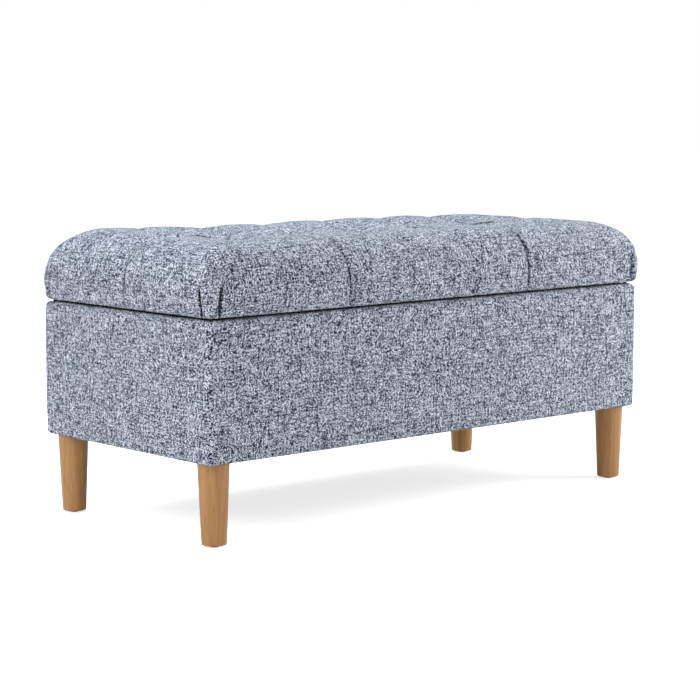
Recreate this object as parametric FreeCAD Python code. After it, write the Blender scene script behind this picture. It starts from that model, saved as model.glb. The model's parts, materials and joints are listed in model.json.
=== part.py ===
"""Upholstered storage bench: a fabric-covered box on four turned legs, with a hinged, diamond-tufted lid.

The frame is a plywood box with pine corner blocks and floor rails, padded and covered in fabric.
The lid turns on a continuous hinge along the back edge. A soft-close stay at each end follows it.

Frame: millimetres, +Z up, +X to the bench's right, -Y to its front, and the origin on the floor at the
centre of the footprint. Every node is written to parts/NODE.step.
"""

import FreeCAD, Part
import math
import os

V = FreeCAD.Vector
UP = V(0, 0, 1)
DOWN = V(0, 0, -1)
SIDES = {"left": -1, "right": 1}
ENDS = {"front": -1, "back": 1}

# Driving dimensions
BASE_LENGTH = 960.0  # outside of the fabric, along X
BASE_DEPTH = 440.0  # outside of the fabric, along Y
BASE_HEIGHT = 220.4  # from the leg tops to the rim
LEG_LENGTH = 128.0
GLIDE_THICKNESS = 3.0
LID_GAP = 3.8  # between the rim and the underside of the lid's cover
CUSHION_HEIGHT = 112.0  # from the underside of the lid's cover to its crown
TUFT_SPACING = 135.0  # along X
TUFT_ROW_SPACING = 92.0  # along Y
TUFT_DEPTH = 22.0  # of each tuft below the crown

# Materials' thicknesses
FABRIC = 1.2
PADDING = 3.8
WADDING = 6.0
PLYWOOD = 12.0
FLOOR_PLYWOOD = 9.0
LINING = 0.8
LID_LINING = 0.6

# Heights
BASE_BOTTOM = GLIDE_THICKNESS + LEG_LENGTH
RIM = BASE_BOTTOM + BASE_HEIGHT
LID_BOTTOM = RIM + LID_GAP
PANEL_BOTTOM = BASE_BOTTOM + FABRIC
PANEL_TOP = RIM - FABRIC - PADDING
RAIL_HEIGHT = 31.8
FLOOR_BOTTOM = PANEL_BOTTOM + RAIL_HEIGHT
FLOOR_TOP = FLOOR_BOTTOM + FLOOR_PLYWOOD
BOARD_BOTTOM = LID_BOTTOM + FABRIC
BOARD_TOP = BOARD_BOTTOM + PLYWOOD

# Plan sizes of the box, as length and depth
UPHOLSTERY = FABRIC + PADDING
FRAME_SIZE = (BASE_LENGTH - 2 * UPHOLSTERY, BASE_DEPTH - 2 * UPHOLSTERY)
WELL_SIZE = (FRAME_SIZE[0] - 2 * PLYWOOD, FRAME_SIZE[1] - 2 * PLYWOOD)

# Fabric folds
BASE_CORNER_RADIUS = 10.0
RIM_RADIUS = 8.0
LOWER_EDGE_RADIUS = 4.8
COVER_TURN_IN = 39.0  # how far the cover comes down inside the rim
COVER_RETURN = 30.0  # how far it comes in under the base
DUST_COVER_INSET = 17.0
LID_RETURN = 35.0  # how far the lid's cover comes in under the board

# Legs
LEG_INSET = 31.0  # from the fabric faces to the leg's axis
LEG_TOP_RADIUS = 25.0
LEG_FOOT_RADIUS = 19.5
LEG_FOOT_ROUND = 2.0
LEG_TOP_BEVEL = 1.0
GLIDE_RADIUS = 8.0
BLOCK_SIDE = 54.0
RAIL_THICKNESS = 20.0

# Hinge
HINGE_LENGTH = 900.0
KNUCKLE_PITCH = 25.0
KNUCKLE_GAP = 0.4
HINGE_Y = BASE_DEPTH / 2 - 1.0
HINGE_Z = RIM + 1.6
BARREL_RADIUS = 2.6
HINGE_PIN_RADIUS = 1.3
LEAF_THICKNESS = 1.2
LEAF_WIDTH = 16.0
RUNNING_CLEARANCE = 0.06

# Soft-close stays. Each is a parallelogram with the lid: the arm stays parallel to the line from the
# hinge to the lid pin, and the link stays parallel to the line from the hinge to the damper.
DAMPER_FROM_HINGE = (-75.0, -60.0)  # along Y and Z
LID_PIN_FROM_HINGE = (-170.0, -12.0)
DAMPER_RADIUS = 20.0
DAMPER_DEPTH = 11.0
STAY_PLATE = 1.8
ARM_THICKNESS = 2.5
ARM_WIDTH = 18.0
LINK_THICKNESS = 2.0
LINK_WIDTH = 15.0
STAY_GAP = 0.7
SHAFT_RADIUS = 5.0
RIVET_RADIUS = 3.0
LID_PIN_CLEARANCE = 0.15
WALL_X = WELL_SIZE[0] / 2 - LINING


# Shapes


def box(x0, x1, y0, y1, z0, z1):
    return Part.makeBox(x1 - x0, y1 - y0, z1 - z0, V(x0, y0, z0))


def centred_box(size, z0, z1):
    """A box centred on the Z axis; size is its length and depth."""
    return box(-size[0] / 2, size[0] / 2, -size[1] / 2, size[1] / 2, z0, z1)


def shrunk(size, inset):
    return (size[0] - 2 * inset, size[1] - 2 * inset)


def disc(radius, height, x, y, z):
    return Part.makeCylinder(radius, height, V(x, y, z), UP)


def along_x(radius, x0, x1, y, z):
    return Part.makeCylinder(radius, x1 - x0, V(x0, y, z), V(1, 0, 0))


def union(shapes):
    return shapes[0].fuse(shapes[1:]).removeSplitter() if len(shapes) > 1 else shapes[0]


def turned(outline, x, y):
    """A solid of revolution about the vertical line through x, y; outline is radius and height pairs."""
    points = [V(radius, 0, z) for radius, z in outline]
    face = Part.Face(Part.makePolygon(points + points[:1]))
    solid = face.revolve(V(0, 0, 0), UP, 360)
    solid.translate(V(x, y, 0))
    return solid


def rounded_rectangle(size, radius, z):
    """A wire centred on the Z axis, with four round corners."""
    cx, cy = size[0] / 2 - radius, size[1] / 2 - radius
    centres = [(cx, cy), (-cx, cy), (-cx, -cy), (cx, -cy)]
    arcs = []
    for quarter, (x, y) in enumerate(centres):
        ends = [math.radians(90 * quarter + turn) for turn in (0, 45, 90)]
        arcs.append([V(x + radius * math.cos(a), y + radius * math.sin(a), z) for a in ends])
    edges = []
    for here, after in zip(arcs, arcs[1:] + arcs[:1]):
        edges.append(Part.Arc(*here).toShape())
        edges.append(Part.LineSegment(here[2], after[0]).toShape())
    return Part.Wire(edges)


def slotted_plate(x0, x1, start, end, width):
    """A flat bar with round ends, standing in the YZ plane between two Y, Z points."""
    dy, dz = end[0] - start[0], end[1] - start[1]
    length = math.hypot(dy, dz)
    bar = box(x0, x1, 0, length, -width / 2, width / 2)
    bar.rotate(V(0, 0, 0), V(1, 0, 0), math.degrees(math.atan2(dz, dy)))
    bar.translate(V(0, start[0], start[1]))
    ends = [along_x(width / 2, x0, x1, y, z) for y, z in (start, end)]
    return union([bar] + ends)


def edges_at(shape, z):
    """The edges that lie level at height z."""
    return [e for e in shape.Edges if e.BoundBox.ZMin > z - 0.01 and e.BoundBox.ZMax < z + 0.01]


def mirrored(shape):
    return shape.mirror(V(0, 0, 0), V(1, 0, 0))


def on_side(shape, side):
    """The right-hand shape itself, or its mirror image for the left."""
    return shape if side == "right" else mirrored(shape)


SCREW_DRIVE_DEPTH = 1.0
SCREW_DRIVE_WIDTH = 0.9


def wood_screw(at, direction, length, shank_radius, head_radius):
    """A countersunk screw with a cross drive; at is the centre of its head's flat face."""
    sink = head_radius - shank_radius
    outline = [
        (0, 0),
        (head_radius, 0),
        (shank_radius, sink),
        (shank_radius, length - 2 * shank_radius),
        (0, length),
    ]
    screw = turned(outline, 0, 0)
    reach = 0.65 * head_radius
    for size in ((reach, SCREW_DRIVE_WIDTH / 2), (SCREW_DRIVE_WIDTH / 2, reach)):
        screw = screw.cut(box(-size[0], size[0], -size[1], size[1], 0, SCREW_DRIVE_DEPTH))
    screw.Placement = FreeCAD.Placement(at, FreeCAD.Rotation(UP, direction))
    return screw


def screw_hole(at, direction, length, shank_radius, head_radius):
    """The space that wood_screw fills, its drive included."""
    sink = head_radius - shank_radius
    outline = [(0, 0), (head_radius, 0), (shank_radius, sink), (shank_radius, length - 2 * shank_radius)]
    hole = turned(outline + [(0, length)], 0, 0)
    hole.Placement = FreeCAD.Placement(at, FreeCAD.Rotation(UP, direction))
    return hole


def screws_and_holes(places, direction, length, shank_radius, head_radius):
    sizes = (direction, length, shank_radius, head_radius)
    screws = [wood_screw(at, *sizes) for at in places]
    holes = [screw_hole(at, *sizes) for at in places]
    return screws, holes


# What is made. Each entry of NODES is one node: a list of its separate solids.

NODES = {}


def add(name, *solids):
    NODES[name] = list(solids)


def drill(names, holes):
    """Cuts holes through the named nodes, so that fasteners fit their seats face to face."""
    for name in names:
        NODES[name] = [solid.cut(holes) for solid in NODES[name]]


def spaced(count, pitch):
    """count positions, pitch apart, centred on zero."""
    return [(i - (count - 1) / 2) * pitch for i in range(count)]


# The box


def rounded_block(size, z0, z1, corner, lower, upper):
    """A box with round vertical corners and round lower and upper edges."""
    block = Part.Face(rounded_rectangle(size, corner, z0)).extrude(V(0, 0, z1 - z0))
    block = block.makeFillet(upper, edges_at(block, z1))
    return block.makeFillet(lower, edges_at(block, z0))


def make_panels():
    half_length, half_depth = FRAME_SIZE[0] / 2, FRAME_SIZE[1] / 2
    for end, sign in ENDS.items():
        near, far = sorted((sign * half_depth, sign * (half_depth - PLYWOOD)))
        add(f"{end}_panel", box(-half_length, half_length, near, far, PANEL_BOTTOM, PANEL_TOP))
    for side, sign in SIDES.items():
        near, far = sorted((sign * half_length, sign * (half_length - PLYWOOD)))
        inner = WELL_SIZE[1] / 2
        add(f"{side}_panel", box(near, far, -inner, inner, PANEL_BOTTOM, PANEL_TOP))
    add("floor_panel", centred_box(shrunk(WELL_SIZE, 0.5), FLOOR_BOTTOM, FLOOR_TOP))


def make_corner_blocks_and_rails():
    half_length, half_depth = WELL_SIZE[0] / 2, WELL_SIZE[1] / 2
    for end, y_sign in ENDS.items():
        for side, x_sign in SIDES.items():
            x0, x1 = sorted((x_sign * half_length, x_sign * (half_length - BLOCK_SIDE)))
            y0, y1 = sorted((y_sign * half_depth, y_sign * (half_depth - BLOCK_SIDE)))
            add(f"corner_block_{end}_{side}", box(x0, x1, y0, y1, PANEL_BOTTOM, FLOOR_BOTTOM))
    reach = half_length - BLOCK_SIDE
    for end, sign in ENDS.items():
        y0, y1 = sorted((sign * half_depth, sign * (half_depth - RAIL_THICKNESS)))
        add(f"floor_rail_{end}", box(-reach, reach, y0, y1, PANEL_BOTTOM, FLOOR_BOTTOM))
    reach = half_depth - BLOCK_SIDE
    for side, sign in SIDES.items():
        x0, x1 = sorted((sign * half_length, sign * (half_length - RAIL_THICKNESS)))
        add(f"floor_rail_{side}", box(x0, x1, -reach, reach, PANEL_BOTTOM, FLOOR_BOTTOM))


PANEL_SCREW = (40.0, 1.9, 3.8)  # length, shank radius and head radius, as for every screw below
PANEL_SCREW_HEIGHTS = (0.28, 0.56, 0.84)  # as shares of the panel's height
FLOOR_SCREW = (28.0, 1.7, 3.4)
FLOOR_SCREW_COUNT = 5
FLOOR_SCREW_PITCH = 190.0


def make_frame_screws():
    """Three screws at each corner hold the long panels to the short ones; ten hold the floor down."""
    panel_screws = []
    heights = [PANEL_BOTTOM + share * (PANEL_TOP - PANEL_BOTTOM) for share in PANEL_SCREW_HEIGHTS]
    for sign in ENDS.values():
        face = sign * FRAME_SIZE[1] / 2
        corners = [x * (FRAME_SIZE[0] - PLYWOOD) / 2 for x in SIDES.values()]
        places = [V(x, face, z) for x in corners for z in heights]
        screws, holes = screws_and_holes(places, V(0, -sign, 0), *PANEL_SCREW)
        panel_screws += screws
        drill(["front_panel", "back_panel", "left_panel", "right_panel"], holes)
    add("panel_screws", *panel_screws)

    rail_y = (WELL_SIZE[1] - RAIL_THICKNESS) / 2
    columns = spaced(FLOOR_SCREW_COUNT, FLOOR_SCREW_PITCH)
    places = [V(x, y, FLOOR_TOP) for x in columns for y in (-rail_y, rail_y)]
    screws, holes = screws_and_holes(places, DOWN, *FLOOR_SCREW)
    add("floor_screws", *screws)
    drill(["floor_panel", "floor_rail_front", "floor_rail_back"], holes)


def make_base_upholstery():
    outer_size = (BASE_LENGTH, BASE_DEPTH)
    radii = (BASE_CORNER_RADIUS, LOWER_EDGE_RADIUS, RIM_RADIUS)
    outer = rounded_block(outer_size, BASE_BOTTOM, RIM, *radii)
    inner_radii = [radius - FABRIC for radius in radii]
    inner = rounded_block(shrunk(outer_size, FABRIC), PANEL_BOTTOM, RIM - FABRIC, *inner_radii)
    mouth = shrunk(WELL_SIZE, FABRIC)
    under = shrunk(outer_size, COVER_RETURN)
    skin = outer.cut(inner)
    skin = skin.cut(centred_box(mouth, RIM - 2 * FABRIC, RIM + 1))
    skin = skin.cut(centred_box(under, BASE_BOTTOM - 1, PANEL_BOTTOM + 1))
    turn_in = centred_box(WELL_SIZE, RIM - COVER_TURN_IN, RIM - FABRIC)
    turn_in = turn_in.cut(centred_box(mouth, RIM - COVER_TURN_IN - 1, RIM))
    add("base_cover", skin.fuse(turn_in).removeSplitter())

    padding = inner.cut(centred_box(FRAME_SIZE, PANEL_BOTTOM - 1, PANEL_TOP))
    padding = padding.cut(centred_box(WELL_SIZE, PANEL_BOTTOM - 1, RIM))
    add("base_padding", padding)

    top = RIM - COVER_TURN_IN
    walls = centred_box(WELL_SIZE, FLOOR_TOP, top)
    walls = walls.cut(centred_box(shrunk(WELL_SIZE, LINING), FLOOR_TOP - 1, top + 1))
    add("lining_walls", walls)
    add("lining_floor", centred_box(shrunk(WELL_SIZE, LINING), FLOOR_TOP, FLOOR_TOP + LINING))
    add("dust_cover", centred_box(shrunk(outer_size, DUST_COVER_INSET), BASE_BOTTOM - LINING, BASE_BOTTOM))


# Staples

STAPLE_PITCH = 60.0
STAPLE_CROWN = 11.0
STAPLE_WIRE = 0.7
STAPLE_LEG = 7.0
STAPLE_INSET = 23.0
STAPLE_SKIP = 75.0  # the stretch at each corner that has none


def staple(x, y, z, lengthwise):
    """A staple driven up into the underside at z, its crown along X or along Y."""
    half, wire = STAPLE_CROWN / 2, STAPLE_WIRE
    parts = [box(-half, half, -wire / 2, wire / 2, z - wire, z)]
    for centre in (-half + wire / 2, half - wire / 2):
        parts.append(box(centre - wire / 2, centre + wire / 2, -wire / 2, wire / 2, z - wire, z + STAPLE_LEG))
    shape = union(parts)
    if not lengthwise:
        shape.rotate(V(0, 0, 0), UP, 90)
    shape.translate(V(x, y, 0))
    return shape


def staple_rows(z):
    """Staples along the four edges of the underside at z."""
    half_length, half_depth = BASE_LENGTH / 2, BASE_DEPTH / 2
    long_count = int((BASE_LENGTH - 2 * STAPLE_SKIP) / STAPLE_PITCH) + 1
    short_count = int((BASE_DEPTH - 2 * STAPLE_SKIP) / STAPLE_PITCH) + 1
    staples = []
    for sign in (-1, 1):
        for x in spaced(long_count, STAPLE_PITCH):
            staples.append(staple(x, sign * (half_depth - STAPLE_INSET), z, True))
        for y in spaced(short_count, STAPLE_PITCH):
            staples.append(staple(sign * (half_length - STAPLE_INSET), y, z, False))
    return staples


def make_staples():
    under_base = staple_rows(BASE_BOTTOM - LINING)
    rails = [f"floor_rail_{place}" for place in ("front", "back", "left", "right")]
    drill(["dust_cover", "base_cover"] + rails, under_base)
    add("base_staples", *under_base)
    under_lid = staple_rows(LID_BOTTOM - LID_LINING)
    drill(["lid_lining", "lid_cover", "lid_board"], under_lid)
    add("lid_staples", *under_lid)


# Legs

HANGER_RADIUS = 4.0
HANGER_IN_LEG = 32.0
HANGER_IN_BLOCK = 30.0
TEE_NUT_FLANGE = 9.5
TEE_NUT_SHEET = 1.4
TEE_NUT_BARREL = 5.2
TEE_NUT_LENGTH = 9.0
NAIL_RADIUS = 1.1
NAIL_LENGTH = 18.0
NAIL_POINT = 2.0
NAIL_HEAD_RADIUS = 3.2
NAIL_HEAD_SINK = 1.0
NAIL_HEAD_THICKNESS = 0.8
GLIDE_ROUND = 0.8
LEG_HOLE_CLEARANCE = 0.3  # in the dust cover round each leg
BOLT_HOLE_CLEARANCE = 0.5  # in the base's cover round each bolt


def leg_places():
    """Name, x and y of each leg."""
    x, y = BASE_LENGTH / 2 - LEG_INSET, BASE_DEPTH / 2 - LEG_INSET
    return [(f"{end}_{side}", x_sign * x, y_sign * y)
            for end, y_sign in ENDS.items() for side, x_sign in SIDES.items()]


def make_leg(x, y):
    foot, top = GLIDE_THICKNESS, BASE_BOTTOM
    outline = [
        (0, foot),
        (LEG_FOOT_RADIUS - LEG_FOOT_ROUND, foot),
        (LEG_FOOT_RADIUS - LEG_FOOT_ROUND * 0.3, foot + LEG_FOOT_ROUND * 0.3),
        (LEG_FOOT_RADIUS, foot + LEG_FOOT_ROUND),
        (LEG_TOP_RADIUS, top - LEG_TOP_BEVEL),
        (LEG_TOP_RADIUS - LEG_TOP_BEVEL, top),
        (0, top),
    ]
    return turned(outline, x, y)


def glide_nail(x, y):
    head_top = NAIL_HEAD_SINK + NAIL_HEAD_THICKNESS
    outline = [
        (0, NAIL_HEAD_SINK),
        (NAIL_HEAD_RADIUS, NAIL_HEAD_SINK),
        (NAIL_HEAD_RADIUS, head_top),
        (NAIL_RADIUS, head_top),
        (NAIL_RADIUS, NAIL_LENGTH - NAIL_POINT),
        (0, NAIL_LENGTH),
    ]
    return turned(outline, x, y)


def make_legs():
    """A bolt is glued in each leg's top and screws into a tee nut in its corner block."""
    bolts, nuts, nails, glides = [], [], [], []
    for name, x, y in leg_places():
        bolt_length = HANGER_IN_LEG + FABRIC + HANGER_IN_BLOCK
        bolt = disc(HANGER_RADIUS, bolt_length, x, y, BASE_BOTTOM - HANGER_IN_LEG)
        flange = disc(TEE_NUT_FLANGE, TEE_NUT_SHEET, x, y, FLOOR_BOTTOM - TEE_NUT_SHEET)
        barrel = disc(TEE_NUT_BARREL, TEE_NUT_LENGTH, x, y, FLOOR_BOTTOM - TEE_NUT_LENGTH)
        nut = union([flange, barrel])
        nail = glide_nail(x, y)
        glide = disc(GLIDE_RADIUS, GLIDE_THICKNESS, x, y, 0)
        glide = glide.makeFillet(GLIDE_ROUND, [e for e in glide.Edges if e.BoundBox.ZMax < 0.01])
        nail_well = disc(NAIL_HEAD_RADIUS, NAIL_HEAD_SINK, x, y, 0)
        add(f"leg_{name}", make_leg(x, y).cut([bolt, nail]))
        glides.append(glide.cut([nail, nail_well]))
        drill([f"corner_block_{name}"], [bolt, nut])
        bolt_hole = disc(HANGER_RADIUS + BOLT_HOLE_CLEARANCE, 2 * FABRIC, x, y, BASE_BOTTOM - FABRIC / 2)
        leg_hole = disc(LEG_TOP_RADIUS + LEG_HOLE_CLEARANCE, 3 * LINING, x, y, BASE_BOTTOM - 2 * LINING)
        drill(["base_cover"], [bolt_hole])
        drill(["dust_cover"], [leg_hole])
        bolts.append(bolt)
        nuts.append(nut.cut(bolt))
        nails.append(nail)
    add("glides", *glides)
    add("hanger_bolts", *bolts)
    add("tee_nuts", *nuts)
    add("glide_nails", *nails)


# The lid. Its cushion is a stack of round-cornered levels, each shorter or longer than the base all round.

UNDER_ROUND = 9.0
UNDERSIDE_OVERHANG = -7.0
SKIRT_OVERHANG = 5.5  # of the cushion's widest line
SKIRT_HEIGHT = 38.0  # from the underside to the widest line
SHOULDER_RUN = 60.0
SHOULDER_RISE = 70.0
SHOULDER_STEPS = 9
CROWN_OVERHANG = -150.0  # of the flat middle of the top
LID_CORNER_RADIUS = 16.0
SHOULDER_CORNER_GROWTH = 30.0


def cushion_levels(offset):
    """Overhang, height over the lid's underside and corner radius of each level, set in by offset."""
    levels = []
    for angle in (-90, -45, 0):
        a = math.radians(angle)
        r = UNDER_ROUND - offset
        levels.append((UNDERSIDE_OVERHANG + r * math.cos(a), UNDER_ROUND + r * math.sin(a), LID_CORNER_RADIUS))
    for step in range(SHOULDER_STEPS + 1):
        a = math.radians(90 * step / SHOULDER_STEPS)
        overhang = SKIRT_OVERHANG - SHOULDER_RUN + (SHOULDER_RUN - offset) * math.cos(a)
        height = SKIRT_HEIGHT + (SHOULDER_RISE - offset) * math.sin(a)
        levels.append((overhang, height, LID_CORNER_RADIUS + SHOULDER_CORNER_GROWTH * (1 - math.cos(a))))
    levels.append((CROWN_OVERHANG, CUSHION_HEIGHT - offset, LID_CORNER_RADIUS + SHOULDER_CORNER_GROWTH))
    return levels


def tuft_places():
    """Three staggered rows of tufts: six, five and six."""
    rows = zip(spaced(3, TUFT_ROW_SPACING), (6, 5, 6))
    return [(x, y) for y, count in rows for x in spaced(count, TUFT_SPACING)]


TUFT_TOP_RADIUS = 10.0
TUFT_BOTTOM_RADIUS = 3.0
TUFT_BOTTOM = LID_BOTTOM + CUSHION_HEIGHT - TUFT_DEPTH


def cushion(offset):
    """The padded lid, pulled down at its tufts, with all its faces set in by offset."""
    wires = []
    for overhang, height, radius in cushion_levels(offset):
        size = shrunk((BASE_LENGTH, BASE_DEPTH), -overhang)
        wires.append(rounded_rectangle(size, radius - offset, LID_BOTTOM + height))
    pits = []
    for x, y in tuft_places():
        bottom = TUFT_BOTTOM - offset
        pit = Part.makeCone(
            TUFT_BOTTOM_RADIUS + offset,
            TUFT_TOP_RADIUS + offset,
            TUFT_DEPTH + offset + 1,
            V(x, y, bottom),
        )
        pits.append(pit)
    return Part.makeLoft(wires, True, True).cut(pits)


TUFT_HOLE_RADIUS = 5.0
TIE_RADIUS = 1.2
TIE_HOLE_RADIUS = 2.5
TUFT_DISC_RADIUS = 9.5
TUFT_DISC_THICKNESS = 2.4
LID_LINING_INSET = 14.0


def make_lid():
    flat = shrunk((BASE_LENGTH, BASE_DEPTH), -UNDERSIDE_OVERHANG)
    outline = rounded_rectangle(flat, LID_CORNER_RADIUS, BOARD_BOTTOM)
    board = Part.Face(outline).extrude(V(0, 0, PLYWOOD))
    above_board = centred_box((2 * BASE_LENGTH, 2 * BASE_DEPTH), BOARD_TOP, BOARD_TOP + CUSHION_HEIGHT)
    under = centred_box(shrunk((BASE_LENGTH, BASE_DEPTH), LID_RETURN), LID_BOTTOM - 1, BOARD_BOTTOM + 0.1)
    discs, ties, tie_holes, foam_holes = [], [], [], []
    disc_top = BOARD_BOTTOM + TUFT_DISC_THICKNESS
    for x, y in tuft_places():
        ties.append(disc(TIE_RADIUS, TUFT_BOTTOM - FABRIC - disc_top, x, y, disc_top))
        discs.append(disc(TUFT_DISC_RADIUS, TUFT_DISC_THICKNESS, x, y, BOARD_BOTTOM))
        tie_holes.append(disc(TIE_HOLE_RADIUS, CUSHION_HEIGHT, x, y, BOARD_BOTTOM))
        foam_holes.append(disc(TUFT_HOLE_RADIUS, CUSHION_HEIGHT, x, y, BOARD_TOP))
    foam = cushion(FABRIC + WADDING).common(above_board)
    padded = cushion(FABRIC)
    add("lid_board", board.cut(tie_holes + discs))
    add("lid_foam", foam.cut(foam_holes))
    add("lid_wadding", padded.cut([foam, board] + foam_holes))
    add("lid_cover", cushion(0).cut([padded, under]))
    add("tuft_ties", *ties)
    add("tuft_discs", *discs)
    lining_size = shrunk((BASE_LENGTH, BASE_DEPTH), LID_LINING_INSET)
    add("lid_lining", centred_box(lining_size, LID_BOTTOM - LID_LINING, LID_BOTTOM))


BUMPER_RADIUS = 4.0
BUMPER_CLEARANCE = 0.1
BUMPER_INSET = 13.0
BUMPER_ROUND = 0.6


def make_bumpers():
    """A soft stop under each corner of the lid."""
    bumpers = []
    bottom = RIM + BUMPER_CLEARANCE
    for x_sign in SIDES.values():
        for y_sign in ENDS.values():
            x = x_sign * (BASE_LENGTH / 2 - BUMPER_INSET)
            y = y_sign * (BASE_DEPTH / 2 - BUMPER_INSET)
            bumper = disc(BUMPER_RADIUS, LID_BOTTOM - bottom, x, y, bottom)
            lower = [e for e in bumper.Edges if e.BoundBox.ZMax < bottom + 0.01]
            bumpers.append(bumper.makeFillet(BUMPER_ROUND, lower))
    drill(["lid_lining"], bumpers)
    add("lid_bumpers", *bumpers)


# The continuous hinge

HINGE_SCREW_PITCH = 75.0
HINGE_SCREW_COUNT = 12
HINGE_SCREW = (14.0, 1.3, 2.4)
HINGE_SCREW_Y = HINGE_Y - 10.5
LEAF_TO_BARREL = 0.4  # the gap between a leaf's edge and the other leaf's knuckles
KNUCKLE_ROOT = 1.2  # how far from the axis each knuckle's strip ends, inside its barrel


def hinge_leaf(first, z_low):
    """A leaf and every second knuckle, from the first one given; z_low is its underside."""
    back = HINGE_Y - BARREL_RADIUS - LEAF_TO_BARREL
    leaf = box(-HINGE_LENGTH / 2, HINGE_LENGTH / 2, HINGE_Y - LEAF_WIDTH, back, z_low, z_low + LEAF_THICKNESS)
    count = int(HINGE_LENGTH / KNUCKLE_PITCH)
    pieces = [leaf]
    for x in spaced(count, KNUCKLE_PITCH)[first::2]:
        x0, x1 = x - (KNUCKLE_PITCH - KNUCKLE_GAP) / 2, x + (KNUCKLE_PITCH - KNUCKLE_GAP) / 2
        strip = (back - LEAF_TO_BARREL, HINGE_Y - KNUCKLE_ROOT)
        pieces.append(box(x0, x1, *strip, z_low, z_low + LEAF_THICKNESS))
        pieces.append(along_x(BARREL_RADIUS, x0, x1, HINGE_Y, HINGE_Z))
    bore = along_x(HINGE_PIN_RADIUS + RUNNING_CLEARANCE, -HINGE_LENGTH, HINGE_LENGTH, HINGE_Y, HINGE_Z)
    return union(pieces).cut(bore)


def make_hinge():
    base_leaf_z = RIM
    lid_leaf_z = LID_BOTTOM - LID_LINING - LEAF_THICKNESS
    add("hinge_base_leaf", hinge_leaf(0, base_leaf_z))
    add("hinge_lid_leaf", hinge_leaf(1, lid_leaf_z))
    add("hinge_pin", along_x(HINGE_PIN_RADIUS, -HINGE_LENGTH / 2, HINGE_LENGTH / 2, HINGE_Y, HINGE_Z))

    spots = spaced(HINGE_SCREW_COUNT, HINGE_SCREW_PITCH)
    base_heads = [V(x, HINGE_SCREW_Y, base_leaf_z + LEAF_THICKNESS) for x in spots]
    screws, holes = screws_and_holes(base_heads, DOWN, *HINGE_SCREW)
    add("hinge_base_screws", *screws)
    drill(["hinge_base_leaf", "base_cover", "base_padding", "back_panel"], holes)
    lid_heads = [V(x, HINGE_SCREW_Y, lid_leaf_z) for x in spots]
    screws, holes = screws_and_holes(lid_heads, UP, *HINGE_SCREW)
    add("hinge_lid_screws", *screws)
    drill(["hinge_lid_leaf", "lid_lining", "lid_cover", "lid_board"], holes)


# The soft-close stays, drawn for the right-hand end and mirrored for the left


def from_hinge(offset):
    return (HINGE_Y + offset[0], HINGE_Z + offset[1])


DAMPER_AT = from_hinge(DAMPER_FROM_HINGE)
LID_PIN_AT = from_hinge(LID_PIN_FROM_HINGE)
ARM_END_AT = (DAMPER_AT[0] + LID_PIN_FROM_HINGE[0], DAMPER_AT[1] + LID_PIN_FROM_HINGE[1])

PLATE_X = (WALL_X - STAY_PLATE, WALL_X)
HOUSING_X = (PLATE_X[0] - DAMPER_DEPTH, PLATE_X[0])
ARM_X = (HOUSING_X[0] - STAY_GAP - ARM_THICKNESS, HOUSING_X[0] - STAY_GAP)
LINK_X = (ARM_X[0] - STAY_GAP - LINK_THICKNESS, ARM_X[0] - STAY_GAP)
BRACKET_X = LINK_X[1] + STAY_GAP
HEAD_THICKNESS = 1.6
HEAD_OVERHANG = 2.0  # of a rivet's or a pin's head over its shank
HEAD_PLAY = 0.3  # between the link and the heads that keep it on
OUTER_HEAD_THICKNESS = 0.6
SHAFT_HEAD_OVERHANG = 3.0
SHAFT_END_GAP = 0.5
DAMPER_ROUND = 1.5
DAMPER_PLATE_HALF = 44.0
DAMPER_PLATE_WIDTH = 26.0
DAMPER_SCREW = (12.0, 1.9, 3.6)
BRACKET_WIDTH = 34.0
BRACKET_FLANGE = 10.0
BRACKET_DROP = 11.0  # of the tab's round end below the pin
BRACKET_THICKNESS = 1.6
BRACKET_SCREW = (13.0, 1.9, 3.4)
BRACKET_SCREW_SPREAD = 10.0


def damper_housing():
    """The damper's plastic body and the steel plate that it is riveted to."""
    y, z = DAMPER_AT
    body = along_x(DAMPER_RADIUS, HOUSING_X[0], HOUSING_X[1], y, z)
    body = body.makeFillet(DAMPER_ROUND, [e for e in body.Edges if e.BoundBox.XMax < HOUSING_X[0] + 0.01])
    bore = along_x(SHAFT_RADIUS + RUNNING_CLEARANCE, HOUSING_X[0] - 1, HOUSING_X[1], y, z)
    plate = slotted_plate(
        PLATE_X[0],
        PLATE_X[1],
        (y - DAMPER_PLATE_HALF, z),
        (y + DAMPER_PLATE_HALF, z),
        DAMPER_PLATE_WIDTH,
    )
    return body.cut(bore), plate


def stay_arm():
    """The arm and the shaft that it turns on, which runs inside the damper."""
    bar = slotted_plate(ARM_X[0], ARM_X[1], DAMPER_AT, ARM_END_AT, ARM_WIDTH)
    shaft = along_x(SHAFT_RADIUS, ARM_X[0], HOUSING_X[1] - SHAFT_END_GAP, *DAMPER_AT)
    head = along_x(SHAFT_RADIUS + SHAFT_HEAD_OVERHANG, ARM_X[0] - HEAD_THICKNESS, ARM_X[0], *DAMPER_AT)
    hole = along_x(RIVET_RADIUS, ARM_X[0] - 1, ARM_X[1] + 1, *ARM_END_AT)
    return bar.cut([shaft, hole]), union([shaft, head])


def headed_pin(x_end, at):
    """A pin from the inner face of the link out to x_end, with the head that keeps the link on it."""
    head_x = LINK_X[0] - HEAD_PLAY
    shank = along_x(RIVET_RADIUS, head_x, x_end, *at)
    return union([shank, along_x(RIVET_RADIUS + HEAD_OVERHANG, head_x - HEAD_THICKNESS, head_x, *at)])


def arm_rivet():
    outer = along_x(RIVET_RADIUS + HEAD_OVERHANG, ARM_X[1], ARM_X[1] + OUTER_HEAD_THICKNESS, *ARM_END_AT)
    return union([headed_pin(ARM_X[1], ARM_END_AT), outer])


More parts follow.
